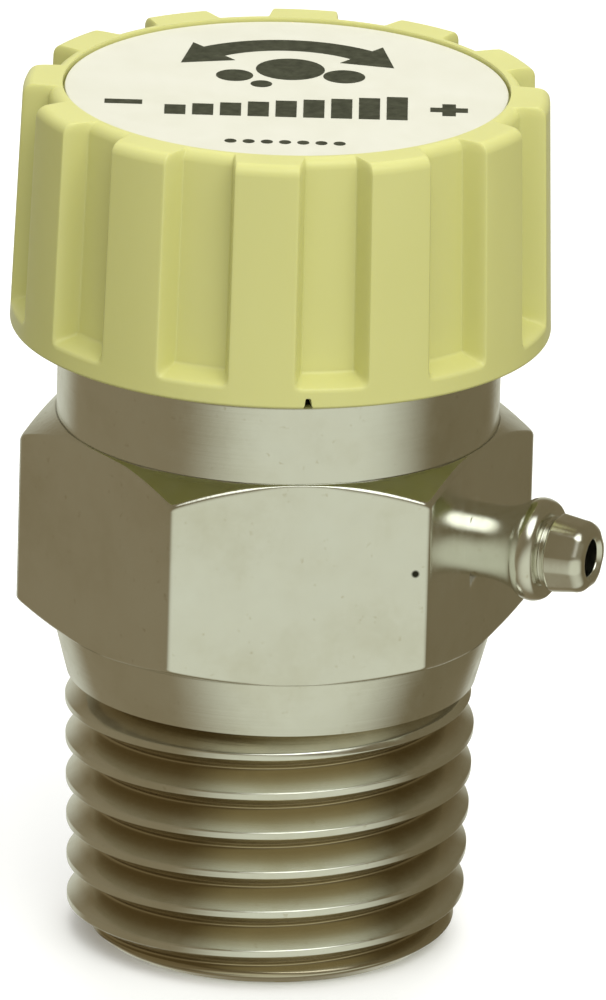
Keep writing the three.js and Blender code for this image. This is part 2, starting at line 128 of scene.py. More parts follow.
# Working parts: radii and heights
SPINDLE_PIN, SPINDLE_NUT, SPINDLE_SHANK, SPINDLE_FLANGE = 0.9, 1.5, 2.0, 3.4
SPINDLE_ROOT, SPINDLE_STEM, SPINDLE_DRIVE, SCREW_HOLE = 2.4, 2.2, 1.55, 1.1
SPINDLE_NUT_LOW, SPINDLE_THREAD_TOP, SPINDLE_DRIVE_LOW = 10.1, 22.9, 26.4
BONNET_SHANK, BONNET_FLANGE, BONNET_BOSS = 6.0, 6.8, 4.4
BONNET_FLANGE_LOW, BONNET_FLANGE_TOP = 23.7, 24.9
BONNET_POCKET, BONNET_POCKET_TOP, BONNET_BORE = 3.75, 19.8, 3.0
GLAND, GLAND_LOW, GLAND_TOP, GLAND_LIP = 3.4, 24.6, 25.6, 0.2
O_RING_SQUASH = 0.8
POPPET_STEM, POPPET_PLATE, POPPET_BOSS = 0.7, 3.5, 1.2
COIL_RADIUS, COIL_WIRE, COIL_TURNS = 2.55, 0.19, 4.5
COIL_PLAY = 0.05


# ---- Mesh helpers ---------------------------------------------------------------------------

def new_object(name, mesh):
    obj = bpy.data.objects.new(name, mesh)
    bpy.context.scene.collection.objects.link(obj)
    return obj


def finish_mesh(name, points, faces, attributes=None):
    """A smooth-shaded closed mesh from points in millimetres, welded and facing outwards.
    attributes holds lists of one value for each point, by name."""
    mesh = bpy.data.meshes.new(name)
    mesh.from_pydata([Vector(p) * MM for p in points], [], faces)
    for key, values in (attributes or {}).items():
        layer = mesh.attributes.new(key, "FLOAT", "POINT")
        layer.data.foreach_set("value", values)
    work = bmesh.new()
    work.from_mesh(mesh)
    bmesh.ops.remove_doubles(work, verts=work.verts, dist=2e-7)
    bmesh.ops.dissolve_degenerate(work, edges=work.edges, dist=1e-7)
    bmesh.ops.recalc_face_normals(work, faces=work.faces)
    work.to_mesh(mesh)
    work.free()
    mesh.shade_smooth()
    return new_object(name, mesh)


def weigh_normals(obj):
    """Large faces keep their own normals, so that only the small rounded edges blend."""
    mesh = obj.data
    normals = [Vector() for _ in mesh.vertices]
    for face in mesh.polygons:
        push = face.normal * (face.area / MM ** 2) ** 2
        for corner in face.vertices:
            normals[corner] += push
    for normal in normals:
        normal.normalize()
    mesh.normals_split_custom_set_from_vertices(normals)
    return obj


def even_columns(count):
    return [360 * i / count for i in range(count)]


def strip_faces(first, second, count):
    """Quads between two rings of points that start at these indices."""
    faces = []
    for i in range(count):
        j = (i + 1) % count
        faces.append((first + i, first + j, second + j, second + i))
    return faces


def ring_points(row, columns):
    """One ring of points. row gives the radius and the height, each a number or a function."""
    radius, height = row
    points = []
    for angle in columns:
        r = radius(angle) if callable(radius) else radius
        z = height(angle) if callable(height) else height
        turn = math.radians(angle)
        points.append((r * math.cos(turn), r * math.sin(turn), z))
    return points


def polar_piece(name, rows, columns, closed=True):
    """A solid from rings stacked along an outline. A closed outline joins its last ring to its
    first; an open one starts and ends on the axis."""
    count = len(columns)
    points = []
    for row in rows:
        points += ring_points(row, columns)
    faces = []
    for k in range(len(rows) - 1):
        faces += strip_faces(k * count, (k + 1) * count, count)
    if closed:
        faces += strip_faces((len(rows) - 1) * count, 0, count)
    return weigh_normals(finish_mesh(name, points, faces))


def shares(steps):
    """Evenly spaced numbers from 0 to 1."""
    return [k / steps for k in range(steps + 1)]


def rounded(outline, radius, steps=4, closed=True):
    """The outline of [radius, height] points with its corners turned into arcs."""
    out = []
    count = len(outline)
    for i, corner in enumerate(outline):
        on_end = not closed and i in (0, count - 1)
        here = Vector(corner)
        before = Vector(outline[i - 1]) - here
        after = Vector(outline[(i + 1) % count]) - here
        reach = min(radius, before.length * 0.45, after.length * 0.45)
        if on_end or reach < 1e-4:
            out.append(tuple(here))
            continue
        start = here + before.normalized() * reach
        end = here + after.normalized() * reach
        for t in shares(steps):
            point = start * (1 - t) ** 2 + here * 2 * t * (1 - t) + end * t * t
            out.append(tuple(point))
    return out


def turned_piece(name, outline, radius=0.05, columns=96):
    """A piece turned on a lathe about Z, with its edges broken by the given amount."""
    closed = outline[0][0] > 0
    rows = rounded(outline, radius, closed=closed)
    return polar_piece(name, rows, even_columns(columns), closed)


def ring_piece(name, outer, bore, low, high, edge=0.06, columns=96):
    return turned_piece(name, [(bore, low), (outer, low), (outer, high), (bore, high)], edge,
                        columns)


def turn_mesh(obj, matrix):
    obj.data.transform(matrix)
    return obj


# ---- Materials ------------------------------------------------------------------------------

class Look:
    """A node material with a Principled BSDF, in the piece's own coordinates in millimetres."""

    def __init__(self, name, base, roughness, metallic=0.0):
        self.material = bpy.data.materials.new(name)
        self.material.use_nodes = True
        self.tree = self.material.node_tree
        self.shader = self.tree.nodes["Principled BSDF"]
        self.shader.inputs["Base Color"].default_value = (*base, 1)
        self.shader.inputs["Roughness"].default_value = roughness
        self.shader.inputs["Metallic"].default_value = metallic
        self.coordinates = self.tree.nodes.new("ShaderNodeTexCoord").outputs["Object"]
        self.height = None

    def node(self, kind, **settings):
        node = self.tree.nodes.new(kind)
        for key, value in settings.items():
            setattr(node, key, value)
        return node

    def link(self, output, target):
        self.tree.links.new(output, target)

    def noise(self, scale, stretch=(1, 1, 1), detail=4.0, roughness=0.55):
        """A noise from 0 to 1. scale is its features to the millimetre."""
        mapping = self.node("ShaderNodeMapping")
        size = [scale * s / MM for s in stretch]
        mapping.inputs["Scale"].default_value = size
        self.link(self.coordinates, mapping.inputs["Vector"])
        texture = self.node("ShaderNodeTexNoise")
        texture.inputs["Scale"].default_value = 1.0
        texture.inputs["Detail"].default_value = detail
        texture.inputs["Roughness"].default_value = roughness
        self.link(mapping.outputs["Vector"], texture.inputs["Vector"])
        return texture.outputs["Fac"]

    def attribute(self, name):
        return self.node("ShaderNodeAttribute", attribute_name=name).outputs["Fac"]

    def near(self, place, inner, outer):
        """1 within inner millimetres of a place, falling to 0 at outer millimetres."""
        away = self.node("ShaderNodeVectorMath", operation="DISTANCE")
        away.inputs[1].default_value = [axis * MM for axis in place]
        self.link(self.coordinates, away.inputs[0])
        return self.ranged(away.outputs["Value"], 1, 0, inner * MM, outer * MM)

    def ranged(self, value, low, high, start=0.3, end=0.7):
        ramp = self.node("ShaderNodeMapRange")
        ramp.inputs["From Min"].default_value = start
        ramp.inputs["From Max"].default_value = end
        ramp.inputs["To Min"].default_value = low
        ramp.inputs["To Max"].default_value = high
        self.link(value, ramp.inputs["Value"])
        return ramp.outputs["Result"]

    def tones(self, value, *stops):
        """A colour that runs through the stops, each (position, colour)."""
        ramp = self.node("ShaderNodeValToRGB")
        elements = ramp.color_ramp.elements
        while len(elements) < len(stops):
            elements.new(0.5)
        for element, (position, colour) in zip(elements, stops):
            element.position = position
            element.color = (*colour, 1)
        self.link(value, ramp.inputs["Fac"])
        return ramp.outputs["Color"]

    def mixed(self, value, first, second):
        mix = self.node("ShaderNodeMix", data_type="RGBA")
        self.link(value, mix.inputs["Factor"])
        for socket, colour in ((mix.inputs[6], first), (mix.inputs[7], second)):
            if isinstance(colour, tuple):
                socket.default_value = (*colour, 1)
            else:
                self.link(colour, socket)
        return mix.outputs[2]

    def blended(self, value, first, second):
        """A number that runs from the first to the second as value goes from 0 to 1."""
        mix = self.node("ShaderNodeMix", data_type="FLOAT")
        self.link(value, mix.inputs["Factor"])
        self.link(first, mix.inputs[2])
        self.link(second, mix.inputs[3])
        return mix.outputs[0]

    def colour(self, output):
        self.link(output, self.shader.inputs["Base Color"])

    def rough(self, value, low, high):
        self.link(self.ranged(value, low, high), self.shader.inputs["Roughness"])

    def bump(self, value, height, strength=1.0):
        """Adds a height in millimetres to what the surface shows."""
        bump = self.node("ShaderNodeBump")
        bump.inputs["Distance"].default_value = height * MM
        bump.inputs["Strength"].default_value = strength
        self.link(value, bump.inputs["Height"])
        if self.height:
            self.link(self.height, bump.inputs["Normal"])
        self.height = bump.outputs["Normal"]
        self.link(self.height, self.shader.inputs["Normal"])


def nickel_look(name="nickel", lathe=(0.12, 0.12, 11.0), ring_height=0.004):
    """Nickel plate over brass: turned rings on the round parts, drawn lines along the hex bar's
    flats, faint tarnish, painted shade (darker and browner) in the thread's roots, one pit on a
    flat."""
    look = Look(name, (0.75, 0.76, 0.70), 0.16, 1.0)
    cloud = look.noise(0.3, detail=6, roughness=0.62)
    plate = look.tones(cloud, (0.28, (0.70, 0.695, 0.61)), (0.5, (0.76, 0.765, 0.70)),
                       (0.75, (0.785, 0.80, 0.745)))
    specks = look.ranged(look.noise(3.2, detail=2), 0, 0.4, 0.68, 0.76)
    worn = look.mixed(specks, plate, (0.56, 0.52, 0.40))
    # painted shade: a darker, browner tone laid into the thread's roots
    shaded = look.mixed(look.attribute("painted_root_shade"), worn, (0.47, 0.41, 0.28))
    look.colour(look.mixed(look.near(PIT, 0.09, 0.16), shaded, (0.03, 0.03, 0.02)))
    look.rough(look.noise(1.4, detail=6), 0.1, 0.24)
    rings = look.noise(1.0, stretch=lathe, detail=3)
    drawn = look.noise(1.0, stretch=(6.0, 6.0, 0.12), detail=3)
    look.bump(look.blended(look.attribute("drawn"), rings, drawn), ring_height)
    look.bump(look.noise(9.0, detail=3), 0.0006)
    return look.material


def brass_look():
    look = Look("brass", (0.78, 0.58, 0.27), 0.28, 1.0)
    cloud = look.noise(0.5, detail=5)
    look.colour(look.tones(cloud, (0.3, (0.70, 0.50, 0.21)), (0.7, (0.84, 0.65, 0.33))))
    look.rough(look.noise(1.5, detail=5), 0.2, 0.36)
    look.bump(look.noise(1.0, stretch=(0.15, 0.15, 9.0), detail=3), 0.003)
    return look.material


def steel_look():
    look = Look("stainless", (0.66, 0.66, 0.65), 0.2, 1.0)
    look.colour(look.tones(look.noise(0.8), (0.3, (0.58, 0.58, 0.57)), (0.7, (0.7, 0.7, 0.69))))
    look.rough(look.noise(3.0, detail=5), 0.14, 0.28)
    look.bump(look.noise(6.0), 0.001)
    return look.material


def knob_look():
    """Moulded yellow plastic: a soft gloss over a faint flow pattern and fine pores."""
    look = Look("yellow_plastic", (0.645, 0.635, 0.24), 0.42)
    flow = look.noise(0.16, stretch=(1, 1, 0.35), detail=3)
    look.colour(look.tones(flow, (0.25, (0.62, 0.61, 0.225)), (0.75, (0.675, 0.665, 0.26))))
    look.rough(look.noise(1.2, detail=5), 0.36, 0.5)
    look.bump(look.noise(2.2, detail=5), 0.004)
    shader = look.shader
    shader.inputs["Subsurface Weight"].default_value = 0.12
    shader.inputs["Subsurface Radius"].default_value = (0.9, 0.8, 0.35)
    shader.inputs["Subsurface Scale"].default_value = 0.6 * MM
    shader.inputs["Coat Weight"].default_value = 0.4
    shader.inputs["Coat Roughness"].default_value = 0.3
    return look.material


def label_look():
    look = Look("white_label", (0.685, 0.675, 0.57), 0.4)
    paper = look.noise(0.5, detail=4)
    look.colour(look.tones(paper, (0.3, (0.67, 0.66, 0.55)), (0.7, (0.70, 0.69, 0.59))))
    look.rough(look.noise(2.0), 0.34, 0.46)
    look.bump(look.noise(4.0, detail=3), 0.0015)
    return look.material


def ink_look():
    look = Look("label_ink", (0.03, 0.035, 0.018), 0.45)
    wear = look.noise(3.0, detail=6)
    look.colour(look.tones(wear, (0.35, (0.022, 0.026, 0.013)), (0.75, (0.05, 0.056, 0.032))))
    look.rough(look.noise(4.0), 0.38, 0.55)
    look.bump(look.noise(9.0), 0.001)
    return look.material


def fibre_look():
    look = Look("fibre", (0.47, 0.27, 0.11), 0.85)
    strands = look.noise(2.0, stretch=(1, 1, 5), detail=7, roughness=0.7)
    look.colour(look.tones(strands, (0.3, (0.36, 0.19, 0.07)), (0.7, (0.58, 0.36, 0.17))))
    look.rough(look.noise(3.0), 0.75, 0.95)
    look.bump(look.noise(7.0, detail=6), 0.012)
    look.shader.inputs["Sheen Weight"].default_value = 0.25
    return look.material


def rubber_look():
    look = Look("rubber", (0.018, 0.018, 0.017), 0.55)
    look.colour(look.tones(look.noise(1.0), (0.3, (0.013, 0.013, 0.012)),
                           (0.7, (0.026, 0.026, 0.024))))
    look.rough(look.noise(3.0, detail=5), 0.48, 0.68)
    look.bump(look.noise(8.0), 0.003)
    return look.material


NICKEL = nickel_look()
NICKEL_BRIGHT = nickel_look("nickel_nozzle", (4.0, 0.12, 0.12), 0.0015)
BRASS = brass_look()
STEEL = steel_look()
YELLOW = knob_look()
LABEL = label_look()
INK = ink_look()
FIBRE = fibre_look()
RUBBER = rubber_look()


def fit(obj, material, slot, body, *nodes):
    """Gives a piece its material, its body and the CAD nodes that it stands for, which it hides.
    slot is not used.
    """
    obj.data.materials.clear()
    obj.data.materials.append(material)
    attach(obj, body)
    if nodes:
        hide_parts(*nodes)
    return obj


# ---- Body -----------------------------------------------------------------------------------

def smooth(value):
    value = min(1.0, max(0.0, value))
    return value * value * (3 - 2 * value)


def thread_height(phase):
    """The thread's form over one pitch, 1 on the flat crest and 0 in the rounded root."""
    away = abs((phase + 0.5) % 1.0 - 0.5)
    share = (away - THREAD_CREST / 2) / (0.5 - THREAD_CREST / 2 - THREAD_ROOT / 2)
    if share <= 0:
        return 1.0
    if share >= 1:
        return 0.0
    ease = THREAD_EASE
    if share < ease:
        return 1 - share * share / (2 * ease) / (1 - ease)
    if share > 1 - ease:
        return (1 - share) ** 2 / (2 * ease) / (1 - ease)
    return 1 - (share - ease / 2) / (1 - ease)


def thread_radius(angle, z):
    """The outer radius of the threaded end at a direction and height, and its depth from 0 to 1."""
    turn = (angle - CREST_ANGLE) / 360
    height = thread_height((z - CREST_Z) / PITCH - turn)
    fade = 1 - 0.75 * smooth((z - THREAD_TOP + THREAD_RUNOUT) / THREAD_RUNOUT)
    outside = THREAD_END_RADIUS + THREAD_TAPER * z
    radius = outside - THREAD_DEPTH + THREAD_DEPTH * height * fade
    return min(radius, THREAD_CHAMFER_RADIUS + THREAD_CHAMFER_SLOPE * z), 1 - height


# The rows over one pitch, close together where the crest and the root curve
HALF_PHASES = (0.045, 0.065, 0.08, 0.1, 0.13, 0.2, 0.3, 0.4, 0.44, 0.475)
THREAD_PHASES = (0.0, *HALF_PHASES, 0.5, *(1 - phase for phase in reversed(HALF_PHASES)))


def thread_surface(columns):
    """The helical surface from the end face up to the collar: its points, its painted shade values
    that darken the thread's roots, faces, and the indices of its lowest and highest points in each
    column. The rows run along the helix, so the last column meets the first one pitch further up."""
    per_turn = len(THREAD_PHASES)
    turns = math.ceil(THREAD_TOP / PITCH) + 4
    rows = turns * per_turn
    start = CREST_Z - PITCH * (math.ceil(CREST_Z / PITCH) + 2)
    points, painted_root_shade = [], []
    for j in range(rows):
        phase = THREAD_PHASES[j % per_turn]
        for angle in columns:
            z = start + PITCH * (j // per_turn + phase + (angle - CREST_ANGLE - 360) / 360)
            z = min(THREAD_TOP, max(0.0, z))
            radius, depth = thread_radius(angle, z)
            turn = math.radians(angle)
            points.append((radius * math.cos(turn), radius * math.sin(turn), z))
            # painted shade, deeper towards the thread's roots
            painted_root_shade.append(smooth(depth * 1.3 - 0.05))
    count = len(columns)
    faces = []
    for j in range(rows - 1):
        for i in range(count - 1):
            a = j * count + i
            faces.append((a, a + 1, a + 1 + count, a + count))
    for j in range(rows - per_turn - 1):
        a = j * count + count - 1
        b = (j + per_turn) * count
        faces.append((a, b, b + count, a + count))
    lowest = list(range(count))
    highest = [(rows - 1) * count + i for i in range(count)]
    return points, painted_root_shade, faces, lowest, highest


def flat_radius(angle):
    """The hex bar's radius in a direction, with its upright edges rounded."""
    from_edge = abs((angle % 60) - 30)
    centre = (APOTHEM - HEX_CORNER) / math.cos(math.radians(30))
    sine = centre * math.sin(math.radians(from_edge))
    if sine < HEX_CORNER * 0.5:
        return centre * math.cos(math.radians(from_edge)) + math.sqrt(HEX_CORNER ** 2 - sine ** 2)
    return APOTHEM / math.cos(math.radians(30 - from_edge))


def chamfer_rows(level, rise):
    """Rows from the hex's flat over its worn edge and along the chamfer's cone to the cone's inner
    end. rise is negative for the lower chamfer."""
    edge_share = 0.6  # the most of the chamfer's width that its rounded edge may take

    def width(angle):
        return flat_radius(angle) - CHAMFER_INNER

    def edge_height(angle):
        return level - rise * (flat_radius(angle) - APOTHEM)

    def curve(t):
        def place(angle):
            reach = min(HEX_EDGE, 0.06 + 0.5 * width(angle))
            corner = Vector((flat_radius(angle), edge_height(angle)))
            low = corner - Vector((0, math.copysign(reach, rise)))
            along = Vector((-1, rise)).normalized() * min(reach, edge_share * width(angle))
            return low * (1 - t) ** 2 + corner * 2 * t * (1 - t) + (corner + along) * t * t
        return (lambda angle: place(angle).x), (lambda angle: place(angle).y)

    def cone(share):
        def radius(angle):
            begin = flat_radius(angle) - min(HEX_EDGE, edge_share * width(angle))
            return begin + (CHAMFER_INNER - begin) * share

        return radius, (lambda angle: level - rise * (radius(angle) - APOTHEM))

    rows = [curve(share) for share in shares(6)]
    rows += [cone(share) for share in (0.6, 0.8, 1.0)]
    return rows


def body_upper_rows():
    """The rows over the rest of the body: up the bore, then down the neck, the hex and the
    collar to the top of the thread."""
    inside = [(INLET + INLET_BEVEL, 0.0), (INLET, INLET_BEVEL), (INLET, INLET_TOP),
              (SEAT, INLET_TOP), (SEAT, SEAT_TOP), (CHAMBER, SEAT_TOP), (CHAMBER, CHAMBER_TOP),
              (NECK_BORE, CHAMBER_TOP), (NECK_BORE, BODY_TOP), (NECK_TIP, BODY_TOP),
              (NECK_TIP, NECK_STEP + NECK_BEVEL), (NECK, NECK_STEP), (NECK, HEX_TOP)]
    rows = rounded(inside, 0.08, steps=3, closed=False)
    top = chamfer_rows(HEX_TOP, CHAMFER_RISE_TOP)
    bottom = chamfer_rows(HEX_BOTTOM, -CHAMFER_RISE_BOTTOM)
    rows += top[::-1]
    for share in (0.15, 0.3, 0.5, 0.7, 0.85):
        rows.append((flat_radius, between(top[0][1], bottom[0][1], share)))
    rows += bottom
    rows += rounded([(APOTHEM, HEX_BOTTOM), (COLLAR_HIGH, HEX_BOTTOM), (COLLAR_LOW, THREAD_TOP)],
                    0.05, steps=3, closed=False)
    return rows


def between(first, second, share):
    return lambda angle: first(angle) * (1 - share) + second(angle) * share


def make_body():
    columns = even_columns(BODY_COLUMNS)
    count = len(columns)
    points, painted_root_shade, faces, lowest, highest = thread_surface(columns)
    rows = body_upper_rows()
    first = len(points)
    drawn = [0.0] * first
    for row in rows:
        ring = ring_points(row, columns)
        points += ring
        # no painted shade above the thread
        painted_root_shade += [0.0] * count
        drawn += [float(callable(row[0]))] * count
    for k in range(len(rows) - 1):
        faces += strip_faces(first + k * count, first + (k + 1) * count, count)
    last = first + (len(rows) - 1) * count
    for i in range(count):
        j = (i + 1) % count
        faces.append((lowest[i], lowest[j], first + j, first + i))
        faces.append((last + i, last + j, highest[j], highest[i]))
    # the thread's painted root shade goes to the material as a point attribute
    body = finish_mesh("vent_body", points, faces, {"painted_root_shade": painted_root_shade, "drawn": drawn})
    port = turned_piece("port_cutter", [(0, PORT_START), (PORT_RADIUS, PORT_START),
                                        (PORT_RADIUS, PORT_END), (0, PORT_END)], 0, 48)
    cut_with(body, turn_mesh(port, LAY))
    weigh_normals(body)
    return fit(body, NICKEL, "nickel_plate", "valve_body", "body")


# ---- Drain nozzle ---------------------------------------------------------------------------

def make_nozzle():
    """A tube that flares to a rounded bead, a step, and a tip with six soft flats, a round nose
    and an open bore."""
    bead, tip, bore, tube = 1.74, 1.32, 0.62, 1.24
    shank, shank_end, tube_start = 1.4, 7.3, 7.42
    flare_start, bead_start, bead_end = 7.9, 9.15, 10.02
    flare_rise, bead_rise, taper = 0.3, 0.2, 0.1
    neck, neck_start, neck_end, tip_start = tip - 0.16, 10.06, 10.24, 10.26
    nose_start, nose_drop, nose_sweep = NOZZLE_END - 0.5, 0.42, 85
    flat_share, mouth_bevel = 0.955, 0.12

    def faceted(radius):
        def in_direction(angle):
            from_edge = abs((angle % 60) - 30)
            flat = radius * flat_share / math.cos(math.radians(30 - from_edge))
            return min(radius, flat)
        return in_direction

    rows = rounded([(bore, NOZZLE_START), (shank, NOZZLE_START), (shank, shank_end),
                    (tube, tube_start), (tube, flare_start)], 0.07, steps=4, closed=False)
    for share in shares(8)[1:]:
        rows.append((tube + flare_rise * share ** 2,
                     flare_start + (bead_start - flare_start) * share))
    for share in shares(12):
        rows.append((bead - bead_rise + bead_rise * math.sin(math.pi * share) ** 0.6,
                     bead_start + (bead_end - bead_start) * share))
    rows += rounded([(bead - bead_rise, bead_end), (neck, neck_start), (neck, neck_end),
                     (tip - 0.03, tip_start)], 0.05, steps=3, closed=False)[1:-1]
    rows.append((faceted(tip - 0.02), tip_start + 0.02))
    rows.append((faceted(tip), tip_start + 0.1))
    for share in shares(8):
        turn = math.radians(nose_sweep * share)
        rows.append((faceted(tip - taper - nose_drop * (1 - math.cos(turn))),
                     nose_start + (NOZZLE_END - nose_start) * math.sin(turn)))
    rows += rounded([(tip - taper - nose_drop, NOZZLE_END), (bore + mouth_bevel, NOZZLE_END),
                     (bore, NOZZLE_END - 0.14), (bore, NOZZLE_START + 0.1)], 0.04, steps=3,
                    closed=False)
    nozzle = polar_piece("hose_nozzle", rows, even_columns(120))
    turn_mesh(nozzle, LAY)
    return fit(nozzle, NICKEL_BRIGHT, "nickel_plate", "valve_body", "drain_nozzle")


# ---- Knob -----------------------------------------------------------------------------------

def knob_columns():
    """Close together on the flanks of each groove and beside the skirt's notch."""
    offsets = (0, 2.5, 4.6, 6.2, 6.8, 7.1, 7.4, 7.65, 7.9, 8.15, 8.4, 8.7, 9.0, 9.5, 11, 13, 15)
    columns = set()
    for rib in range(RIBS):
        middle = FIRST_RIB + 360 / RIBS * rib
        for offset in offsets:
            columns.add(round((middle + offset) % 360, 4))
            columns.add(round((middle - offset) % 360, 4))
    for offset in (0, 0.4, 0.6, 0.8, 1.05, 1.4):
        columns.add((NOTCH_ANGLE + offset) % 360)
        columns.add((NOTCH_ANGLE - offset) % 360)
    return sorted(columns)


def groove_share(angle):
    """0 on a rib and 1 in a groove, with rounded shoulders between."""
    period = 360 / RIBS
    away = abs((angle - FIRST_RIB + period / 2) % period - period / 2)
    return smooth((away - RIB_HALF) / RIB_FLANK)


def knob_radius(z, inset=0.0):
    """The skirt's radius at a height in every direction, drawn in by inset."""
    share = (z - KNOB_BOTTOM) / (KNOB_TOP - KNOB_BOTTOM)
    crest = KNOB_RADIUS + (KNOB_TOP_RADIUS - KNOB_RADIUS) * share
    depth = GROOVE_DEPTH * smooth((z - RIM_TOP) / 0.4)
    return lambda angle: crest - depth * groove_share(angle) - inset


def notch_height(angle):
    away = abs((angle - NOTCH_ANGLE + 180) % 360 - 180)
    return NOTCH_HEIGHT * (1 - smooth((away - NOTCH_HALF) / NOTCH_HALF))


def make_knob():
    edge, lip = 0.38, 0.12

    def lifted(z):
        return lambda angle: z + max(0.0, notch_height(angle) - (z - KNOB_BOTTOM))

    rows = [(KNOB_CAVITY, KNOB_ROOF), (KNOB_CAVITY, lifted(KNOB_BOTTOM + 0.15)),
            (KNOB_CAVITY + 0.15, lifted(KNOB_BOTTOM))]
    for share in shares(4):
        turn = math.radians(90 * share)
        z = KNOB_BOTTOM + lip * (1 - math.cos(turn))
        rows.append((knob_radius(KNOB_BOTTOM, lip * (1 - math.sin(turn))), lifted(z)))
    for z in (21.7, RIM_TOP - 0.1, RIM_TOP, 22.12, 22.2, 22.28, 22.36, 22.48, 23.2, 24.4, 25.8,
              27.2, 28.4):
        rows.append((knob_radius(z), lifted(z)))
    for share in shares(6):
        turn = math.radians(90 * share)
        z = KNOB_TOP - edge * (1 - math.sin(turn))
        rows.append((knob_radius(z, edge * (1 - math.cos(turn))), z))
    floor = span("label_disc", "z")[0] - 0.02
    rows += rounded([(LABEL_RECESS + 0.012, KNOB_TOP), (LABEL_RECESS, KNOB_TOP - 0.06),
                     (LABEL_RECESS, floor), (SCREW_WELL, floor), (SCREW_WELL, SCREW_LEDGE),
                     (HUB_BORE, SCREW_LEDGE), (HUB_BORE, HUB_BOTTOM), (HUB, HUB_BOTTOM),
                     (HUB, KNOB_ROOF)], 0.03, steps=2, closed=False)
    knob = polar_piece("ribbed_knob", rows, knob_columns())
    return fit(knob, YELLOW, "yellow_plastic", "knob_spindle", "knob")


# ---- Label ----------------------------------------------------------------------------------

def disc_shape(x, y, radius, count=36):
    turns = [2 * math.pi * k / count for k in range(count)]
    return [(x + radius * math.cos(turn), y + radius * math.sin(turn)) for turn in turns]


def bar_shape(x, y, width, height):
    half_w, half_h = width / 2, height / 2
    return [(x - half_w, y - half_h), (x + half_w, y - half_h), (x + half_w, y + half_h),
            (x - half_w, y + half_h)]


def arc_band(radius, width, start, end, count=48):
    """A curved band between two directions in degrees, as one outline."""
    turns = [math.radians(start + (end - start) * share) for share in shares(count)]
    outer, inner = radius + width / 2, radius - width / 2
    return ([(outer * math.cos(turn), outer * math.sin(turn)) for turn in turns]
            + [(inner * math.cos(turn), inner * math.sin(turn)) for turn in reversed(turns)])


def moved(outline, x, y):
    return [(px + x, py + y) for px, py in outline]


def arrow_head(radius, direction, size, sense):
    """A triangle on a curved arrow's end, pointing on along the arc."""
    turn = math.radians(direction)
    tip = math.radians(direction + sense * math.degrees(size * 1.5 / radius))
    return [((radius - size) * math.cos(turn), (radius - size) * math.sin(turn)),
            ((radius + size) * math.cos(turn), (radius + size) * math.sin(turn)),
            (radius * math.cos(tip), radius * math.sin(tip))]


def arrow_and_bubbles():
    """A broad turning arrow over rising bubbles."""
    arc_y, arc, band, arc_start = 0.75, 4.0, 1.15, 52
    outlines = [moved(arc_band(arc, band, arc_start, 180 - arc_start), 0, arc_y)]
    for start, sense in ((arc_start, -1), (180 - arc_start, 1)):
        outlines.append(moved(arrow_head(arc, start, band, sense), 0, arc_y))
    for x, y, radius in ((0.1, 2.15, 1.15), (-1.75, 1.35, 0.62), (1.9, 1.5, 0.7),
                         (-0.85, 0.5, 0.36)):
        outlines.append(disc_shape(x, y, radius))
    return outlines


def scale_and_dots():
    """A stepped scale from minus to plus, and a row of dots below it."""
    outlines = []
    bars, step, bar_width, bottom = 9, 0.92, 0.7, -3.0
    for k in range(bars):
        height = 1.0 + 0.18 * k
        outlines.append(bar_shape(step * (k - bars // 2), bottom + height / 2, bar_width, height))
    sign, thick, sign_x, level = 1.25, 0.45, 5.4, -1.8
    outlines.append(bar_shape(-sign_x, level, sign, thick))
    outlines.append(bar_shape(sign_x, level, sign, thick))
    rise = (sign - thick) / 2
    for side in (1, -1):
        outlines.append(bar_shape(sign_x, level + side * (thick + rise) / 2, thick, rise))
    dots, spacing, dot_radius, dot_y = 7, 0.6, 0.2, -5.7
    for k in range(dots):
        outlines.append(disc_shape(spacing * (k - dots // 2), dot_y, dot_radius, 20))
    return outlines


def flat_prism(outlines, low, high):
    """Thin closed prisms over plain outlines, all in one mesh."""
    points, faces = [], []
    for outline in outlines:
        start, count = len(points), len(outline)
        points += [(x, y, low) for x, y in outline] + [(x, y, high) for x, y in outline]
        faces.append(tuple(start + i for i in reversed(range(count))))
        faces.append(tuple(start + count + i for i in range(count)))
        faces += strip_faces(start, start + count, count)
    return points, faces


def make_label():
    low, high = span("label_disc", "z")
    outline = [(0, low), (LABEL_RADIUS, low), (LABEL_RADIUS, high), (0, high)]
    disc = turned_piece("label_plate", outline, 0.05, columns=144)
    fit(disc, LABEL, "white_label", "knob_spindle", "label_disc")
    outlines = arrow_and_bubbles() + scale_and_dots()
    points, faces = flat_prism(outlines, high - 0.02, high + INK_HEIGHT)
    ink = finish_mesh("label_print", points, faces)
    ink.data.shade_flat()
    turn_mesh(ink, Matrix.Rotation(math.radians(LABEL_ANGLE), 4, "Z"))
    fit(ink, INK, "white_label", "knob_spindle")


# ---- Working parts inside -------------------------------------------------------------------

def helix_ridge(name, radius, depth, pitch, low, high, half=0.42, per_turn=64):
    """A screw thread's ridge that fades out at both ends."""
    steps = round((high - low) / pitch * per_turn)
    section = [(-0.1, -half), (depth * 0.9, -0.1), (depth, -0.05), (depth, 0.05),
               (depth * 0.9, 0.1), (-0.1, half)]
    count = len(section)
    points, faces = [], []
    for i in range(steps + 1):
        fade = min(1.0, i / (per_turn / 3), (steps - i) / (per_turn / 3))
        turn = 2 * math.pi * i / per_turn
        for out, up in section:
            r = radius + (out + 0.1) * fade - 0.1
            z = low + pitch * i / per_turn + up * fade
            points.append((r * math.cos(turn), r * math.sin(turn), z))
    for i in range(steps):
        faces += strip_faces(i * count, (i + 1) * count, count)
    return finish_mesh(name, points, faces)


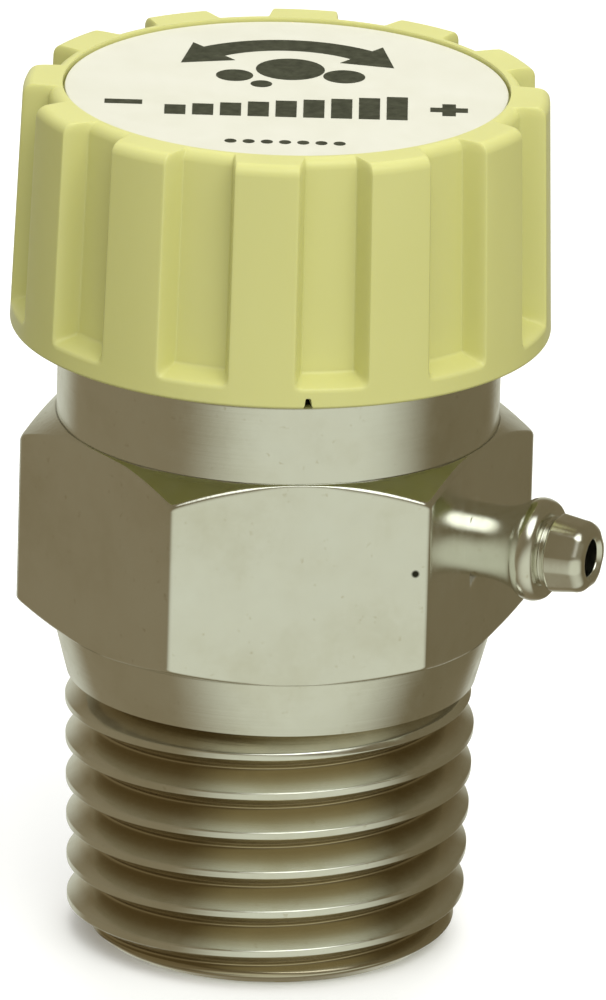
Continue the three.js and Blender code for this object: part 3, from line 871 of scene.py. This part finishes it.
def make_spindle():
    low, high = span("spindle", "z")
    flange_low = span("disc_top_washer", "z")[1] + 0.05
    shank_low = span("disc_bottom_washer", "z")[0] - 0.02
    flange_top = flange_low + 1
    hole_low = high - 3
    core = turned_piece("spindle_turned", [
        (0, low), (SPINDLE_PIN, low), (SPINDLE_PIN, SPINDLE_NUT_LOW),
        (SPINDLE_NUT, SPINDLE_NUT_LOW), (SPINDLE_NUT, shank_low), (SPINDLE_SHANK, shank_low),
        (SPINDLE_SHANK, flange_low), (SPINDLE_FLANGE, flange_low), (SPINDLE_FLANGE, flange_top),
        (SPINDLE_ROOT, flange_top), (SPINDLE_ROOT, SPINDLE_THREAD_TOP),
        (SPINDLE_STEM, SPINDLE_THREAD_TOP), (SPINDLE_STEM, SPINDLE_DRIVE_LOW),
        (SPINDLE_DRIVE, SPINDLE_DRIVE_LOW), (SPINDLE_DRIVE, high), (SCREW_HOLE, high),
        (SCREW_HOLE, hole_low), (0, hole_low)], 0.08)
    fit(core, BRASS, "brass", "knob_spindle", "spindle")
    ridge = helix_ridge("spindle_thread", SPINDLE_ROOT, depth=0.55, pitch=1.0,
                        low=flange_top + 0.5, high=SPINDLE_THREAD_TOP - 0.3)
    fit(ridge, BRASS, "brass", "knob_spindle")


def make_bonnet():
    low, high = span("bonnet", "z")
    inside = SPINDLE_STEM + 0.05
    lip_low = GLAND_LOW - GLAND_LIP
    bonnet = turned_piece("bonnet_plug", [
        (BONNET_POCKET, low), (BONNET_SHANK, low), (BONNET_SHANK, BONNET_FLANGE_LOW),
        (BONNET_FLANGE, BONNET_FLANGE_LOW), (BONNET_FLANGE, BONNET_FLANGE_TOP),
        (BONNET_BOSS, BONNET_FLANGE_TOP), (BONNET_BOSS, high), (inside, high),
        (inside, GLAND_TOP), (GLAND, GLAND_TOP), (GLAND, GLAND_LOW), (inside, GLAND_LOW),
        (inside, lip_low), (BONNET_BORE, lip_low), (BONNET_BORE, BONNET_POCKET_TOP),
        (BONNET_POCKET, BONNET_POCKET_TOP)], 0.08)
    fit(bonnet, BRASS, "brass", "valve_body", "bonnet")


def make_rings():
    """The flat rings: washers, fibre discs, gasket, seat ring and poppet seal."""
    flat = [("disc_bottom_washer", 2.2, BRASS, "brass", "disc_cartridge"),
            ("disc_top_washer", 2.2, BRASS, "brass", "disc_cartridge"),
            ("bonnet_gasket", 6.1, RUBBER, "rubber", "valve_body"),
            ("seat_ring", 2.9, RUBBER, "rubber", "valve_body"),
            ("poppet_seal", 1.25, RUBBER, "rubber", "check_valve"),
            ("knob_screw_washer", 1.1, STEEL, "stainless", "knob_spindle")]
    for number in range(1, 9):
        flat.append((f"fibre_disc_{number}", 2.2, FIBRE, "fibre", "disc_cartridge"))
    for node, bore, material, slot, body in flat:
        low, high = span(node, "z")
        piece = ring_piece(f"{node}_fine", radius_of(node), bore, low, high)
        fit(piece, material, slot, body, node)


def make_o_ring():
    low, high = span("spindle_o_ring", "z")
    middle, half = (low + high) / 2, (high - low) / 2
    outer = radius_of("spindle_o_ring")
    wire = half / O_RING_SQUASH
    rows = []
    sides = 20
    for k in range(sides):
        turn = 2 * math.pi * k / sides
        rows.append((outer - wire + wire * math.cos(turn), middle + half * math.sin(turn)))
    ring = polar_piece("o_ring_fine", rows, even_columns(72))
    fit(ring, RUBBER, "rubber", "valve_body", "spindle_o_ring")


def make_check_valve():
    low, high = span("check_poppet", "z")
    plate_low, plate_high = high - 1.6, high - 0.75
    poppet = turned_piece("poppet_turned", [
        (0, low), (POPPET_STEM, low), (POPPET_STEM, plate_low), (POPPET_PLATE, plate_low),
        (POPPET_PLATE, plate_high), (POPPET_BOSS, plate_high), (POPPET_BOSS, high),
        (0, high)], 0.08)
    fit(poppet, BRASS, "brass", "check_valve", "check_poppet")
    coil_low = span("check_retainer", "z")[1] + COIL_WIRE + COIL_PLAY
    coil_high = plate_low - COIL_WIRE - COIL_PLAY
    spring = make_coil("check_coil", COIL_RADIUS, COIL_WIRE, coil_low, coil_high, COIL_TURNS)
    spring.data.materials.append(STEEL)
    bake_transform(spring)
    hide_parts("check_spring")


def make_coil(name, radius, wire, low, high, turns, per_turn=40, sides=12):
    """A compression spring's wire, closed at both ends."""
    steps = round(turns * per_turn)
    points, faces = [], []
    for i in range(steps + 1):
        turn = 2 * math.pi * i / per_turn
        z = low + (high - low) * i / steps
        for k in range(sides):
            around = 2 * math.pi * k / sides
            r = radius + wire * math.cos(around)
            points.append((r * math.cos(turn), r * math.sin(turn), z + wire * math.sin(around)))
    for i in range(steps):
        faces += strip_faces(i * sides, (i + 1) * sides, sides)
    faces.append(tuple(reversed(range(sides))))
    faces.append(tuple(steps * sides + k for k in range(sides)))
    return finish_mesh(name, points, faces)


def carry_over(node, material):
    """Keeps a CAD node whose shape is right and gives it a better material and broken edges."""
    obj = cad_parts[node]
    obj.data.materials.clear()
    obj.data.materials.append(material)
    edges = obj.modifiers.new("edges", "BEVEL")
    edges.width = 0.04 * MM
    edges.segments = 2
    edges.limit_method = "ANGLE"
    edges.angle_limit = math.radians(40)


def make_knob_screw():
    low, high = span("knob_screw", "z")
    shank, head, crown = 0.9, 2.1, 1.7
    seat = high - 0.55
    screw = turned_piece("knob_screw_turned", [
        (0, low), (shank, low + 0.2), (shank, seat), (head, seat), (head, seat + 0.35),
        (crown, high), (0, high)], 0.1)
    cutter_mesh = bpy.data.meshes.new("slot_cutter")
    work = bmesh.new()
    bmesh.ops.create_cube(work, size=1.0)
    bmesh.ops.scale(work, vec=Vector((5, 0.5, 0.8)) * MM, verts=work.verts)
    bmesh.ops.translate(work, vec=Vector((0, 0, high + 0.1)) * MM, verts=work.verts)
    work.to_mesh(cutter_mesh)
    work.free()
    cut_with(screw, new_object("slot_cutter", cutter_mesh))
    weigh_normals(screw)
    fit(screw, STEEL, "stainless", "knob_spindle", "knob_screw")


def cut_with(obj, cutter):
    """Subtracts the cutter from the piece and removes the cutter."""
    cut = obj.modifiers.new("cut", "BOOLEAN")
    cut.operation = "DIFFERENCE"
    cut.object = cutter
    bpy.context.view_layer.objects.active = obj
    bpy.ops.object.modifier_move_to_index(modifier="cut", index=0)
    bpy.ops.object.modifier_apply(modifier="cut")
    bpy.data.objects.remove(cutter)


make_body()
make_nozzle()
make_knob()
make_label()
make_spindle()
make_bonnet()
make_rings()
make_o_ring()
make_check_valve()
make_knob_screw()
carry_over("check_retainer", BRASS)
carry_over("disc_nut", BRASS)


# ---- Studio ---------------------------------------------------------------------------------

def direction(azimuth, elevation):
    """A unit vector. azimuth is in degrees from +X towards +Y."""
    a, e = math.radians(azimuth), math.radians(elevation)
    return Vector((math.cos(a) * math.cos(e), math.sin(a) * math.cos(e), math.sin(e)))


CENTRE = Vector((0, 0, 15 * MM))


def make_floor():
    """A wide pale sheet. The metal's reflections pass it by, and see the studio's own tones."""
    mesh = bpy.data.meshes.new("floor")
    size = 1.5
    mesh.from_pydata([(-size, -size, 0), (size, -size, 0), (size, size, 0), (-size, size, 0)],
                     [], [(0, 1, 2, 3)])
    floor = new_object("floor", mesh)
    look = Look("floor_paper", (0.95, 0.95, 0.94), 0.9)
    tone = look.noise(0.02, detail=2)
    look.colour(look.tones(tone, (0.3, (0.945, 0.944, 0.935)), (0.7, (0.955, 0.955, 0.95))))
    look.shader.inputs["Specular IOR Level"].default_value = 0.1
    look.shader.inputs["Emission Color"].default_value = (1, 1, 1, 1)
    look.shader.inputs["Emission Strength"].default_value = 0.08
    floor.data.materials.append(look.material)
    floor.visible_glossy = False
    floor.visible_diffuse = False


def area_light(name, azimuth, elevation, distance, size, power, colour=(1, 1, 1)):
    light = bpy.data.lights.new(name, "AREA")
    light.shape = "RECTANGLE"
    light.size, light.size_y = size
    light.energy = power
    light.color = colour
    lamp = bpy.data.objects.new(name, light)
    bpy.context.scene.collection.objects.link(lamp)
    place = CENTRE + direction(azimuth, elevation) * distance
    lamp.location = place
    lamp.rotation_euler = (CENTRE - place).to_track_quat("-Z", "Y").to_euler()
    lamp.visible_glossy = False
    return lamp


def make_world():
    """Even light on matt surfaces, and for the metal a studio with a bright front, a second
    bright side behind, a small bright top, and warm dark sides between them."""
    world = bpy.data.worlds.new("studio")
    bpy.context.scene.world = world
    world.use_nodes = True
    tree = world.node_tree
    tree.nodes.clear()
    node = tree.nodes.new

    def towards(azimuth, elevation, inner, outer):
        """1 within inner degrees of a direction, falling to 0 at outer degrees."""
        dot = node("ShaderNodeVectorMath")
        dot.operation = "DOT_PRODUCT"
        tree.links.new(coordinates.outputs["Generated"], dot.inputs[0])
        dot.inputs[1].default_value = direction(azimuth, elevation)
        ramp = node("ShaderNodeMapRange")
        ramp.interpolation_type = "SMOOTHSTEP"
        ramp.inputs["From Min"].default_value = math.cos(math.radians(outer))
        ramp.inputs["From Max"].default_value = math.cos(math.radians(inner))
        tree.links.new(dot.outputs["Value"], ramp.inputs["Value"])
        return ramp.outputs["Result"]

    def mixed(share, first, second):
        mix = node("ShaderNodeMix")
        mix.data_type = "RGBA"
        tree.links.new(share, mix.inputs["Factor"])
        for socket, colour in ((mix.inputs[6], first), (mix.inputs[7], second)):
            if isinstance(colour, tuple):
                socket.default_value = (*colour, 1)
            else:
                tree.links.new(colour, socket)
        return mix.outputs[2]

    coordinates = node("ShaderNodeTexCoord")
    dark = mixed(towards(-173, -19, 20, 120), (0.188, 0.156, 0.09), (0.254, 0.212, 0.132))
    front = mixed(towards(-47, -33, 20, 66), dark, (0.72, 0.73, 0.60))
    both = mixed(towards(122, -15, 12, 42), front, (0.62, 0.62, 0.52))
    metal = mixed(towards(-42, 60, 8, 30), both, (2.2, 2.25, 2.1))
    below = mixed(towards(-50, 10, 25, 100), (0.2, 0.185, 0.12), (0.64, 0.64, 0.58))
    matt = mixed(towards(-50, 90, 30, 95), below, (0.95, 0.96, 0.95))
    rays = node("ShaderNodeLightPath")
    lit = mixed(rays.outputs["Is Glossy Ray"], matt, metal)
    seen = mixed(rays.outputs["Is Camera Ray"], lit, (1, 1, 1))
    background = node("ShaderNodeBackground")
    tree.links.new(seen, background.inputs["Color"])
    output = node("ShaderNodeOutputWorld")
    tree.links.new(background.outputs["Background"], output.inputs["Surface"])


def make_lights():
    area_light("key", -42, 50, 0.35, (0.3, 0.3), 0.68, (1.0, 1.0, 0.97))
    area_light("back", 110, 50, 0.4, (0.25, 0.25), 0.55)


def make_camera():
    """A long lens at 19 degrees above the level, a little off the axis and rolled."""
    azimuth, elevation, roll = -66.4, 19.0, 1.6
    distance = 0.7
    frame_height = 33.44 * MM
    side = Vector((-math.sin(math.radians(azimuth)), math.cos(math.radians(azimuth)), 0))
    aim = Vector((0, 0, 15.17 * MM)) + side * 0.92 * MM
    camera = bpy.data.cameras.new("camera")
    camera.sensor_width = 36
    camera.lens = camera.sensor_width * distance / frame_height
    camera.clip_start = 0.01
    camera.clip_end = 10
    holder = bpy.data.objects.new("camera", camera)
    bpy.context.scene.collection.objects.link(holder)
    place = aim + direction(azimuth, elevation) * distance
    look = (aim - place).to_track_quat("-Z", "Y").to_matrix().to_4x4()
    holder.matrix_world = (Matrix.Translation(place) @ look
                           @ Matrix.Rotation(math.radians(roll), 4, "Z"))
    bpy.context.scene.camera = holder


make_floor()
make_world()
make_lights()
make_camera()
bpy.context.scene.view_settings.view_transform = "Standard"
